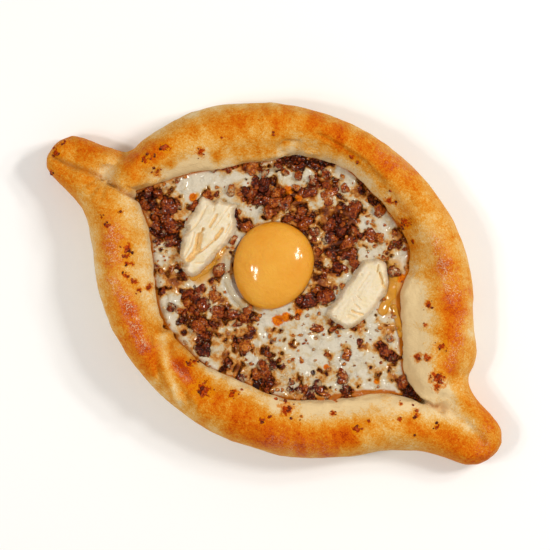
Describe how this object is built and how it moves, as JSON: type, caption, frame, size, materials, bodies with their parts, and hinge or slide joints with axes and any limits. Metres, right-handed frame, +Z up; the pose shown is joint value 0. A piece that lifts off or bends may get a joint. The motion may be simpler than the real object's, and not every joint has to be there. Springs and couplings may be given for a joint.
{
  "type": "khachapuri",
  "caption": "Boat-shaped baked bread with a rolled, browned rim and pinched pointed ends, filled with minced meat in melted cheese and topped with an egg yolk and knobs of butter.",
  "frame": {"origin": "middle of the flat underside, under the centre of the bounding box", "axes": "+X along the boat from one pinched tip to the other, +Y across it, +Z up"},
  "size_m": [0.26, 0.1612, 0.0354],
  "materials": {
    "crust": "baked dough, golden to deep orange-brown on the rim, pale cream in the folds, slightly glossy",
    "meat_and_cheese": "browned minced meat set in pale melted cheese, wet with fat",
    "egg_yolk": "smooth, glossy, warm golden yellow",
    "butter": "pale cream, satin, a little torn and flaky"
  },
  "bodies": {
    "root": {"bread": "crust", "filling": "meat_and_cheese", "yolk": "egg_yolk", "butter_left": "butter", "butter_right": "butter"}
  },
  "joints": []
}
